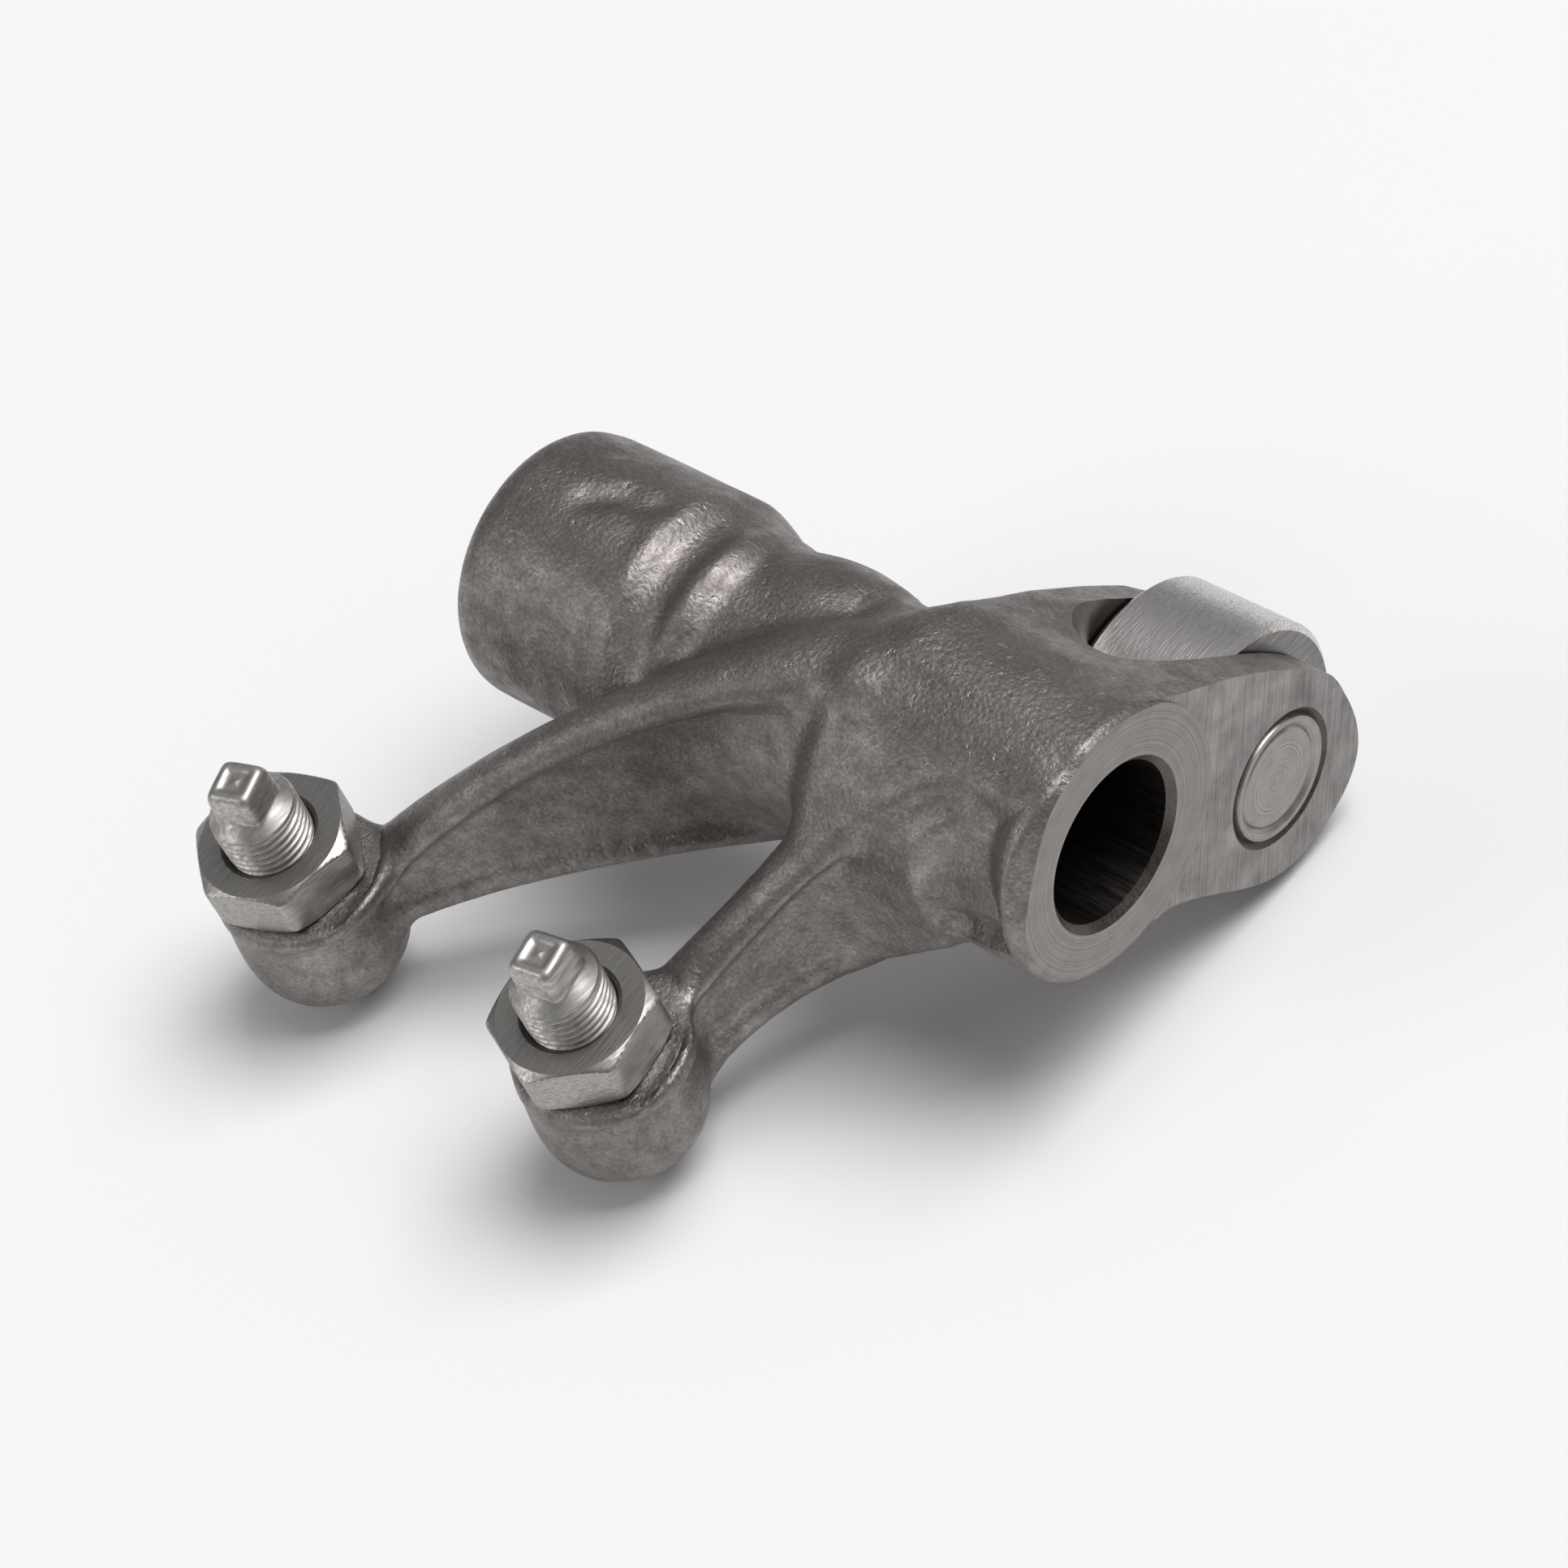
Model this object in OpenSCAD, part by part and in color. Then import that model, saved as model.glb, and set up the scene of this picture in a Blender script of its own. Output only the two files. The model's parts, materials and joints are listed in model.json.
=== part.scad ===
// Roller rocker arm of an overhead camshaft engine: one steel forging that swings on a shaft,
// a needle roller in its fork, and two screw adjusters with lock nuts at the ends of its arms.
// It lies as it comes to rest on a bench, on its roller and its two adjuster tips.
// The shaft runs along X. The origin is on the shaft's axis, halfway along the bore.

/* [Shaft tube] */
// Length of the tube between its two end faces
tube_len = 49; // [47:0.1:55]
// Diameter of the shaft bore
bore_d = 11; // [9:0.1:12]
// Chamfer at both mouths of the bore
bore_chamfer = 0.5; // [0.2:0.05:0.8]
// Diameter of the ring face beside the roller fork
near_boss_d = 18.8; // [17:0.1:20]
// Width of the collar left standing between the ring face and the forged pocket
collar_w = 2.4; // [1.5:0.1:3.5]
// Length of the barrel that carries the fork and both arms
barrel_len = 17; // [15.5:0.1:19]
// Diameter of the neck, and of the floor of the forged pocket
neck_d = 16.4; // [15:0.1:17.5]
// Diameter of the long boss at the far end
far_boss_d = 19; // [17:0.1:20]
// Length of the far boss
far_boss_len = 15.5; // [13:0.1:18]
// Rounding of the forged edges of the far boss
far_edge_r = 2.2; // [0.5:0.1:2.5]

/* [Roller fork] */
// Distance of the roller's axis from the shaft's axis, square to the adjusters
roller_y = 14.05; // [13:0.05:16]
// Height of the roller's axis, below the shaft's axis
roller_drop = 11; // [9.5:0.05:12]
// Diameter of the roller
roller_d = 19; // [17:0.1:19.6]
// Width of the roller
roller_w = 8.8; // [7.6:0.05:9.4]
// Chamfer of the roller's outer edges
roller_chamfer = 0.5; // [0.2:0.05:0.8]
// Side clearance between the roller and each ear of the fork
side_gap = 0.25; // [0.1:0.05:0.4]
// Thickness of the ear at the ring face
near_ear_t = 2.75; // [2.2:0.05:3.4]
// Thickness of the other ear
far_ear_t = 3; // [2.2:0.05:3.6]
// Depth of the ground ear face behind the ring face
ear_step = 0.3; // [0.1:0.05:0.6]
// Radius of an ear round the roller's axis
ear_r = 8.2; // [7.4:0.05:8.4]
// Radial clearance of the milled slot round the roller
slot_gap = 0.45; // [0.3:0.05:0.7]

/* [Needle bearing] */
// Diameter of the roller's pin
pin_d = 9; // [8:0.05:9.4]
// Diameter of one needle
needle_d = 2; // [1.6:0.05:2.1]
// Length of a needle
needle_len = 8.2; // [6.6:0.05:8.4]
// Number of needles
needle_count = 17; // [13:1:17]
// Radial clearance inside and outside the ring of needles
needle_gap = 0.03; // [0.02:0.005:0.05]

/* [Fork arms and adjusters] */
// Distance of both adjusters from the shaft's axis
screw_y = 26.55; // [25:0.05:29]
// Distance of the near adjuster from the ring face, along the shaft
near_screw_x = 23; // [21:0.05:25]
// Spacing of the two adjusters
screw_spacing = 27.2; // [25:0.05:29]
// Depth of the lock nuts' seats below the shaft's axis
seat_drop = 3; // [2:0.05:4]
// Largest diameter of an adjuster boss
boss_d = 11.8; // [11:0.1:12.6]
// Length of an adjuster boss under its seat
boss_len = 11; // [9.5:0.1:12]
// Diameter of the machined seat under a lock nut
seat_d = 12.4; // [11.8:0.1:13]
// Thickness of the arms' top flange
flange_t = 2.6; // [2:0.1:3.2]
// Thickness of the arms' web
web_t = 2.4; // [1.8:0.1:3]

/* [Adjuster screws and lock nuts] */
// Diameter of the adjuster's fine thread
thread_d = 6; // [5:0.05:6.4]
// Radial clearance of the thread in its plain holes
thread_gap = 0.04; // [0.02:0.01:0.08]
// Height of the screw's end above the lock nut
screw_proud = 6.2; // [5:0.1:7]
// Height of the square on the screw's end
square_len = 3; // [2.5:0.1:3.4]
// Width of the square across its flats
square_w = 3.6; // [3.2:0.05:4]
// Reach of the hardened tip below the boss
tip_reach = 1.2; // [0.8:0.05:2.2]
// Diameter of the hardened tip
tip_d = 5; // [4:0.05:5.4]
// Width of the lock nut across its flats
nut_w = 10; // [9:0.1:10.6]
// Thickness of the lock nut
nut_t = 3.85; // [3.2:0.05:4.4]

/* [Hidden] */
$fn = 96;
eps = 0.01;
NEEDLES = [for (i = [1:needle_count]) str("needle_", i < 10 ? "0" : "", i)];
ENDS = ["near", "far"];

near_x = tube_len / 2;
near_r = near_boss_d / 2;
neck_r = neck_d / 2;
far_r = far_boss_d / 2;
roller_r = roller_d / 2;
slot_w = roller_w + 2 * side_gap;
slot_x = near_x - ear_step - near_ear_t;
roller_x = slot_x - slot_w / 2;
fork_x = slot_x - slot_w - far_ear_t;
pin_len = near_ear_t + slot_w + far_ear_t;
roller_bore_r = pin_d / 2 + needle_d + 2 * needle_gap;
needle_ring_r = pin_d / 2 + needle_d / 2 + needle_gap;
screw_x = [near_x - near_screw_x, near_x - near_screw_x - screw_spacing];
tip_bottom = -seat_drop - boss_len - tip_reach;

function bez(p, t) = p[0] * pow(1 - t, 3) + 3 * p[1] * t * pow(1 - t, 2)
    + 3 * p[2] * t * t * (1 - t) + p[3] * pow(t, 3);
function arc(cx, cy, r, a0, a1, n) = [for (i = [0:n]) let (a = a0 + (a1 - a0) * i / n)
    [cx + r * cos(a), cy + r * sin(a)]];

// The part is modelled with its adjusters upright, then tipped to the way it rests
tip_edge_r = 0.6;
rest_dz = -roller_drop - (tip_bottom + tip_edge_r);
rest_dy = roller_y + screw_y + tip_d / 2 - tip_edge_r;
rest_tilt = asin((roller_r - tip_edge_r) / norm([rest_dy, rest_dz])) - atan2(rest_dz, rest_dy);

module at_rest() { rotate([rest_tilt, 0, 0]) children(); }
module along_x(x) { translate([x, 0, 0]) rotate([90, 0, 90]) children(); }
module about_x(x) { translate([x, 0, 0]) rotate([0, 90, 0]) children(); }
module at_roller() { translate([0, roller_y, -roller_drop]) children(); }

// A skin over a list of closed rings that all have the same number of points. Each end is
// closed by a fan from the ring's first point, so that point sees all the others.
module loft(rings) {
    n = len(rings[0]);
    m = len(rings);
    polyhedron(
        points = [for (ring = rings) for (p = ring) p],
        faces = concat(
            [for (i = [1:n - 2]) [0, i + 1, i]],
            [for (j = [0:m - 2]) for (i = [0:n - 1]) [j * n + i, j * n + (i + 1) % n, (j + 1) * n + i]],
            [for (j = [0:m - 2]) for (i = [0:n - 1])
                [(j + 1) * n + i, j * n + (i + 1) % n, (j + 1) * n + (i + 1) % n]],
            [for (i = [1:n - 2]) [(m - 1) * n, (m - 1) * n + i, (m - 1) * n + i + 1]]));
}

// Outline of the fork's side, round the shaft tube and the roller's axis, as [y, z]
function from_roller(p) = [roller_y + p[0] * ear_r, -roller_drop + p[1] * ear_r];
function curve(p, n) = [for (i = [0:n - 1]) bez(p, i / n)];
inner_top = [0.1 * near_r, 0.91 * near_r];
inner_bottom = [-0.05 * near_r, -0.93 * near_r];
ear_front_top = from_roller([0.76, 0.5]);
ear_front_low = from_roller([0.89, 0.08]);
ear_bottom = from_roller([0.06, -1.02]);
fork_outline = concat(
    [[0, 0]],
    curve([inner_top, [8.2, 6.6], from_roller([0.24, 1.27]), ear_front_top], 12),
    curve([ear_front_top, from_roller([0.84, 0.38]), from_roller([0.88, 0.22]), ear_front_low], 5),
    curve([ear_front_low, from_roller([1.0, -0.59]), from_roller([0.87, -1.0]), ear_bottom], 12),
    curve([ear_bottom, from_roller([-0.62, -0.98]), [6.2, -12.6], inner_bottom], 12));

// The tube's own outline, as [radius, distance along the shaft]
shoulder_x = -near_x + far_boss_len;
barrel_x = near_x - barrel_len;
far_taper = 0.35;
function ease(t) = t * t * (3 - 2 * t);
tube_outline = concat(
    [[0, near_x]],
    arc(near_r - 0.4, near_x - 0.4, 0.4, 90, 0, 3),
    [for (i = [0:6]) [near_r + (neck_r - near_r) * ease(i / 6), barrel_x - i * 0.5]],
    [for (i = [0:8]) [neck_r + (far_r + far_taper - neck_r) * ease(i / 8), shoulder_x + (8 - i) * 0.5]],
    arc(far_r - far_edge_r, -near_x + far_edge_r, far_edge_r, 0, -90, 6),
    [[0, -near_x]]);

// Forged pocket in the barrel's front, under the crest that runs down into the near arm.
// Its crest is a curve in [distance behind the ring face, height].
pocket_crest = [[0, 8.6], [7.5, 9.2], [11, 6.6], [17, -1.5]];
module pocket_cut() {
    floor_z = -7.6;
    translate([near_x, 0, 0]) difference() {
        rotate([90, 0, 0]) linear_extrude(near_r + 4) polygon(concat(
            [[-barrel_len - 4, floor_z], [-collar_w, floor_z]],
            [for (i = [1:12]) let (p = bez(pocket_crest, i / 12)) [-collar_w - p[0] * 0.94, p[1]]],
            [[-barrel_len - 4, -1.5]]));
        about_x(-barrel_len - 5) cylinder(r = neck_r, h = barrel_len + 6);
    }
}

module shaft_tube() {
    difference() {
        about_x(0) rotate_extrude() polygon(tube_outline);
        pocket_cut();
    }
}

module fork_block() {
    along_x(fork_x) linear_extrude(near_x - ear_step - fork_x) polygon(fork_outline);
}

// Plan edges of an arm's flange as [x from the ring face, y], from the tube to its boss
function plan(x, y) = [near_x + x, y];
function boss_at(i) = [screw_x[i], -screw_y];
ARM_LEFT = [
    [plan(-17.5, -1), plan(-15.5, -6.5), boss_at(0) + [2.7, 15.25], boss_at(0) + [-0.4, 6.05]],
    [plan(-15.2, 4.5), plan(-16, 0), boss_at(1) + [12.7, 14.05], boss_at(1) + [2.7, 5.55]]];
ARM_RIGHT = [
    [plan(-7, -3), plan(-9.5, -6), boss_at(0) + [6.8, 17.05], boss_at(0) + [4.1, 6.05]],
    [plan(-11.5, 0), plan(-19, -6.5), boss_at(1) + [16.2, 12.55], boss_at(1) + [5.7, 1.55]]];
// Heights of each arm's crest and underside along its run
ARM_TOP = [[7.2, 7.4, 0.5, -3], [6.8, 12.9, 7.1, -1.5]];
ARM_BOTTOM = [[-7.4, -12, -8.5, -11.5], [-7.4, -8.6, -5.8, -9.5]];
arm_steps = 14;

function across(left, right, u) = left + (right - left) * u / norm(right - left);
function flange_ring(left, right, z) = let (w = norm(right - left)) [
    for (q = [[0, -1.2], [0.3, -0.45], [1, -0.1], [w / 2, 0], [w - 1, -0.1], [w - 0.3, -0.45], [w, -1.2],
        [w, 0.5 - flange_t], [w - 0.6, -flange_t], [0.6, -flange_t], [0, 0.5 - flange_t]])
    let (p = across(left, right, q[0])) [p[0], p[1], z + q[1]]];
function web_ring(left, right, top, low) = let (w = norm(right - left)) [
    for (q = [[0.15, low], [-0.6, low + 0.6], [-0.6, low + 1.5], [0, low + 2.4], [0.1, top], [w - 0.1, top],
        [w, low + 2.4], [w + 0.6, low + 1.5], [w + 0.6, low + 0.6], [w - 0.15, low]])
    let (p = across(left, right, q[0])) [p[0], p[1], q[1]]];

module arm(i) {
    stations = [for (k = [0:arm_steps]) k / arm_steps];
    boss = boss_at(i);
    side = (ARM_RIGHT[i][3] - ARM_LEFT[i][3]) / 2;
    loft(concat(
        [for (t = stations) flange_ring(bez(ARM_LEFT[i], t), bez(ARM_RIGHT[i], t), bez(ARM_TOP[i], t))],
        [flange_ring(boss - side, boss + side, -seat_drop - 1)]));
    web_share = web_t / norm(2 * side);
    loft(concat(
        [for (t = stations)
            let (l = bez(ARM_LEFT[i], t), r = bez(ARM_RIGHT[i], t), m = (l + r) / 2, h = (r - l) / 2 * web_share)
            web_ring(m - h, m + h, bez(ARM_TOP[i], t) - 1.5, bez(ARM_BOTTOM[i], t))],
        [web_ring(boss - side * web_share, boss + side * web_share, -seat_drop - 1.5, -seat_drop - boss_len + 2)]));
}

// Cup-shaped boss under a lock nut, as [radius, height]
boss_r = boss_d / 2;
boss_outline = concat(
    [[0, -seat_drop], [boss_r - 0.85, -seat_drop], [boss_r - 0.5, -seat_drop - 3], [boss_r - 0.1, -seat_drop - 5.5],
        [boss_r, -seat_drop - 7]],
    arc(boss_r - 3, -seat_drop - boss_len + 3.4, 3, 0, -70, 6),
    [[0, -seat_drop - boss_len]]);

module boss(i) {
    translate([screw_x[i], -screw_y, 0]) rotate_extrude() polygon(boss_outline);
}

module seat_cut(i) {
    translate([screw_x[i], -screw_y, -seat_drop]) {
        cylinder(d = seat_d, h = 14);
        translate([0, 0, -boss_len - 1]) cylinder(r = thread_d / 2 + thread_gap, h = boss_len + 2);
        translate([0, 0, -0.3]) cylinder(r1 = thread_d / 2, r2 = thread_d / 2 + 0.35, h = 0.3 + eps);
    }
}

module shaft_bore_cut() {
    about_x(-near_x - 1) cylinder(d = bore_d, h = tube_len + 2);
    for (s = [-1, 1]) about_x(s * near_x)
        rotate_extrude() polygon([[0, -s * bore_chamfer], [bore_d / 2, -s * bore_chamfer],
            [bore_d / 2 + bore_chamfer, 0], [bore_d / 2 + bore_chamfer, s], [0, s]]);
}

slot_end_y = roller_y - 2;
module slot_cut() {
    at_roller() about_x(slot_x - slot_w) cylinder(r = roller_r + slot_gap, h = slot_w);
    translate([roller_x, slot_end_y, -roller_drop]) cylinder(d = slot_w, h = 30);
    translate([slot_x - slot_w, slot_end_y, -roller_drop]) cube([slot_w, 20, 30]);
}

pin_sink = 0.4;
module pin_hole_cut() {
    at_roller() {
        about_x(fork_x - 1) cylinder(d = pin_d, h = pin_len + 2);
        about_x(near_x - ear_step - pin_sink)
            cylinder(r1 = pin_d / 2, r2 = pin_d / 2 + 0.45, h = pin_sink + eps);
        about_x(fork_x - eps) cylinder(r1 = pin_d / 2 + 0.45, r2 = pin_d / 2, h = pin_sink + eps);
    }
}

module rocker_arm() {
    color("dimgray") at_rest() difference() {
        union() {
            shaft_tube();
            fork_block();
            for (i = [0, 1]) {
                arm(i);
                boss(i);
            }
        }
        shaft_bore_cut();
        slot_cut();
        pin_hole_cut();
        for (i = [0, 1]) seat_cut(i);
    }
}

module roller() {
    c = roller_chamfer;
    half = roller_w / 2;
    color("silver") at_rest() at_roller() about_x(roller_x) rotate_extrude() polygon([
        [roller_bore_r, -half + 0.3], [roller_bore_r + 0.3, -half], [roller_r - c, -half], [roller_r, -half + c],
        [roller_r, half - c], [roller_r - c, half], [roller_bore_r + 0.3, half], [roller_bore_r, half - 0.3]]);
}

module roller_pin() {
    r = pin_d / 2;
    half = pin_len / 2;
    color("gray") at_rest() at_roller() about_x((near_x - ear_step + fork_x) / 2) rotate_extrude() polygon([
        [0, -half + 0.15], [r - 1.1, -half + 0.15], [r - 0.9, -half + 0.3], [r - 0.5, -half], [r - 0.15, -half],
        [r, -half + pin_sink], [r, half - pin_sink], [r - 0.15, half], [r - 0.5, half], [r - 0.9, half - 0.3],
        [r - 1.1, half - 0.15], [0, half - 0.15]]);
}

module needle(i) {
    r = needle_d / 2;
    half = needle_len / 2;
    color("silver") at_rest() at_roller() rotate([i * 360 / needle_count, 0, 0]) translate([0, needle_ring_r, 0])
        about_x(roller_x) rotate_extrude() polygon([[0, -half], [r - 0.3, -half], [r, -half + 0.3],
            [r, half - 0.3], [r - 0.3, half], [0, half]]);
}

module adjuster_screw(i) {
    top = -seat_drop + nut_t + screw_proud;
    r = thread_d / 2;
    neck = top - square_len;
    color("silver") at_rest() translate([screw_x[i], -screw_y, 0]) {
        rotate_extrude() polygon(concat(
            [[0, neck + 0.3], [square_w / 2, neck + 0.3], [r - 0.2, neck - 1.4], [r, neck - 1.8],
                [r, tip_bottom + 2.6], [tip_d / 2, tip_bottom + 2.1]],
            arc(tip_d / 2 - tip_edge_r, tip_bottom + tip_edge_r, tip_edge_r, 0, -90, 5),
            [[0, tip_bottom]]));
        rotate([0, 0, 20]) intersection() {
            translate([-square_w / 2, -square_w / 2, neck]) cube([square_w, square_w, square_len]);
            translate([0, 0, neck]) rotate_extrude() polygon([[0, 0], [square_w * 0.62, 0],
                [square_w * 0.62, square_len - 0.5], [square_w * 0.62 - 0.5, square_len], [0, square_len]]);
        }
    }
}

NUT_TURN = [38.2, 20.5];
module lock_nut(i) {
    corner = nut_w / 2 / cos(30);
    flat = nut_w / 2;
    bore = thread_d / 2 + thread_gap;
    color("darkgray") at_rest() translate([screw_x[i], -screw_y, -seat_drop]) difference() {
        intersection() {
            rotate([0, 0, NUT_TURN[i]]) cylinder(r = corner, h = nut_t, $fn = 6);
            rotate_extrude() polygon([[0, 0], [flat - 0.1, 0], [corner + 0.1, 0.55], [corner + 0.1, nut_t - 0.55],
                [flat - 0.1, nut_t], [0, nut_t]]);
        }
        translate([0, 0, -1]) cylinder(r = bore, h = nut_t + 2);
        translate([0, 0, nut_t - 0.3]) cylinder(r1 = bore - eps, r2 = bore + 0.3, h = 0.3 + eps);
        translate([0, 0, -eps]) cylinder(r1 = bore + 0.3, r2 = bore - eps, h = 0.3 + eps);
    }
}

rocker_arm();
roller_pin();
roller();
for (i = [1:needle_count]) needle(i);
for (i = [0, 1]) adjuster_screw(i);
for (i = [0, 1]) lock_nut(i);
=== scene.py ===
import json
import math
import random

import bmesh
import bpy
import numpy as np
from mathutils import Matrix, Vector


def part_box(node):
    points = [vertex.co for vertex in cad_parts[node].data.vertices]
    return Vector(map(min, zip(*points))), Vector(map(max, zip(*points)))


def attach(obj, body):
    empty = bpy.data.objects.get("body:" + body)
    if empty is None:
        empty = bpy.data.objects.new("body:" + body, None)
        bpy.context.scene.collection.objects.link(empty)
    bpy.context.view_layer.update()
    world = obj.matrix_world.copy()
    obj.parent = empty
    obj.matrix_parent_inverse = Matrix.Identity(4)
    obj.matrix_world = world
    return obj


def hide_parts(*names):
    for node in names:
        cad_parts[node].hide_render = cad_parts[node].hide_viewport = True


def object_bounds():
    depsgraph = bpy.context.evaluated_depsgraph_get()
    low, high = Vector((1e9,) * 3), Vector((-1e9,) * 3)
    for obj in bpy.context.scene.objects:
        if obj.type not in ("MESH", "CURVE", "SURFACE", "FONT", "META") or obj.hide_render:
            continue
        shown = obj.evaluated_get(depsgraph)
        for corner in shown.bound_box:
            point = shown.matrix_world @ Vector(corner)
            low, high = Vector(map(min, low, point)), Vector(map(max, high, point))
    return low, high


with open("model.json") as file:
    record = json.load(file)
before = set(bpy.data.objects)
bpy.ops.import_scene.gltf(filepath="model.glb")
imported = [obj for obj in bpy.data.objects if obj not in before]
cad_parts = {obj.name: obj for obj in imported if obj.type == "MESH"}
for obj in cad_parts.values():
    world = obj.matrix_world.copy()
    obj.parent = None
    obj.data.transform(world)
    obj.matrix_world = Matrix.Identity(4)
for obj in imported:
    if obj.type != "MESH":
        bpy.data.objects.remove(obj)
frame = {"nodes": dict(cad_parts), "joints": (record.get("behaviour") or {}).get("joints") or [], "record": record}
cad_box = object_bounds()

import openvdb
from mathutils import Matrix, Vector, noise

MM = 0.001
RECORD = frame["record"]
MOUNTS = {m["name"]: m for m in RECORD["mounts"]}
JOINTS = {j["name"]: j for j in frame["joints"]}

# The part lies tipped on its roller and tips. All sizes below are in mm with the adjusters upright.
lean = MOUNTS["valve_tip_near"]["axis"]
TILT = math.atan2(lean[1], -lean[2])
UPRIGHT_TO_REST = Matrix.Scale(MM, 4) @ Matrix.Rotation(TILT, 4, "X")


def upright(point):
    """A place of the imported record, in mm, with the adjusters upright."""
    return Matrix.Rotation(-TILT, 4, "X") @ Vector(point) / MM


RING_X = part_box("rocker_arm")[1].x / MM
SCREWS = {end: upright(MOUNTS["valve_tip_" + end]["pos_m"]) for end in ("near", "far")}
ROLLER = upright(JOINTS["roller_spin"]["pos_m"])
SEAT_Z = upright(JOINTS["unlock_near"]["pos_m"]).z

# The shaft tube, and places along it from the ring face
BORE_R = MOUNTS["shaft_bore"]["dims"]["r_mm"]
BORE_CHAMFER = 0.5
RING_R = 9.4
NECK_R = 8.2
FAR_R = 9.5
TUBE_ROUND = 2.7
BARREL_END = -16.6
SHOULDER = -34.6
FOLD = 7.4
# The fork
EAR_STEP = 0.3
EAR_R = 8.2
FORK_X = RING_X - 15.35
FACE_X = RING_X - EAR_STEP
PIN_R = 4.5
PIN_CHAMFER = 0.45
PIN_SINK = 0.4
SLOT_W = 9.3
SLOT_R = 9.95
SLOT_END_Y = ROLLER.y + 0.3
SCOOP_R = 10
# The arms and their bosses
WEB_T = 2.4
WEB_BELOW_TOP = 1.5
BEAD_OUT = 0.6
BEAD_H = 1.8
EDGE_ROUND = 0.9
CREST_ROUND = 2.2
BOSS_R = 5.9
BOSS_LEN = 11
BOSS_ROUND = 5.2
SEAT_R = 6.2
HOLE_R = 3.04
# Fillets where the tube, the fork, the arms and the bosses run together
FORK_FILLET = 1.6
ARM_FILLET = 2.2
BOSS_FILLET = 1.4
# Spacing of the grid that the forging's mesh is drawn from, which keeps the piece under 200,000 triangles
CELL = 0.278


def bezier(p, t):
    p = [np.asarray(q, float) for q in p]
    t = np.asarray(t, float)
    if p[0].ndim:
        t = t[..., None]
    return p[0] * (1 - t) ** 3 + 3 * p[1] * t * (1 - t) ** 2 + 3 * p[2] * t * t * (1 - t) + p[3] * t ** 3


def blend(a, b, k):
    """Union of two distance fields with a fillet of about k."""
    h = np.maximum(k - np.abs(a - b), 0) / k
    return np.minimum(a, b) - h * h * k / 4


def carve(a, b, k):
    """Overlap of two distance fields with an edge rounded by about k."""
    return -blend(-a, -b, k)


def ease(t):
    t = np.clip(t, 0, 1)
    return t * t * (3 - 2 * t)


def hump(x, middle, width):
    return np.exp(-(((x - middle) / width) ** 2))


def nearest(route, u, v):
    """Distance from each plan point to a route, and how far along it, 0 to 1, the nearest point is."""
    best = np.full(np.broadcast(u, v).shape, 1e9)
    along = np.zeros_like(best)
    count = len(route) - 1
    for i in range(count):
        a, d = route[i], route[i + 1] - route[i]
        t = np.clip(((u - a[0]) * d[0] + (v - a[1]) * d[1]) / (d @ d), 0, 1)
        gap = np.hypot(u - a[0] - t * d[0], v - a[1] - t * d[1])
        closer = gap < best
        best = np.where(closer, gap, best)
        along = np.where(closer, (i + t) / count, along)
    return best, along


def outline_field(points, u, v):
    """Signed distance to a closed outline, negative inside."""
    gap, _ = nearest(np.vstack([points, points[:1]]), u, v)
    inside = np.zeros(gap.shape, bool)
    for a, b in zip(points, np.roll(points, -1, 0)):
        crosses = (a[1] > v) != (b[1] > v)
        rise = np.where(b[1] == a[1], 1, b[1] - a[1])
        inside ^= crosses & (u < (b[0] - a[0]) * (v - a[1]) / rise + a[0])
    return np.where(inside, -gap, gap)


def from_roller(y, z):
    return (ROLLER.y + y * EAR_R, ROLLER.z + z * EAR_R)


def fork_outline(rise):
    """Side of the fork. Its top rises from the near ear, where rise is 0, to the far ear, where it is 1."""
    top = np.array([(0.94, 8.55), (8.2, 6.6), from_roller(0.24, 1.27), from_roller(0.76, 0.5)])
    top = top + rise * np.array([(0, 0.76), (-2.2, 4.2), (-2.02, 1.79), (0.1, 0.5)])
    runs = [
        top,
        [from_roller(0.76, 0.5), from_roller(0.84, 0.38), from_roller(0.88, 0.22), from_roller(0.89, 0.08)],
        [from_roller(0.89, 0.08), from_roller(1.0, -0.59), from_roller(0.87, -1.0), from_roller(0.06, -1.02)],
        [from_roller(0.06, -1.02), from_roller(-0.7, -1.0), (6.4, -11.6), (-0.47, -8.74)],
    ]
    steps = np.linspace(0, 1, 12, endpoint=False)
    return np.vstack([[(4.5, -4)]] + [bezier(run, steps) for run in runs])


def ring(x, y):
    """A plan point given from the ring face."""
    return (RING_X + x, y)


def by(end, x, y):
    """A plan point given from an adjuster's axis."""
    return (SCREWS[end].x + x, SCREWS[end].y + y)


# Plan curves of both edges, heights of the flange's top and the web's lower edge, and the flange's thickness.
# The foot is how far the web spreads at the tube, and the shares of the arm where that starts and is full.
ARMS = {
    "near": {
        "left": [ring(-17.5, -1), ring(-15.5, -6.5), by("near", 2.7, 15.25), by("near", -0.4, 6.05)],
        "right": [ring(-7, -3), ring(-9.5, -6), by("near", 6.8, 17.05), by("near", 4.1, 6.05)],
        "top": [7.2, 7.4, 0.5, -3],
        "low": [-7.4, -12, -8.5, -11.5],
        "flange": 1.6,
        "foot": (5.5, 0.66, 0.28),
    },
    "far": {
        "left": [ring(-15.2, 5.5), ring(-20, 1.2), by("far", 13.7, 14.15), by("far", 2.7, 5.55)],
        "right": [ring(-11.5, 0), ring(-21, -5), by("far", 16.2, 13.9), by("far", 5.7, 1.55)],
        "top": [6.8, 12.2, 8.9, -3.2],
        "low": [-7.4, -8.6, -5.8, -9.5],
        "flange": 1.9,
        "foot": (1.2, 0.5, 0.1),
    },
}


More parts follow.
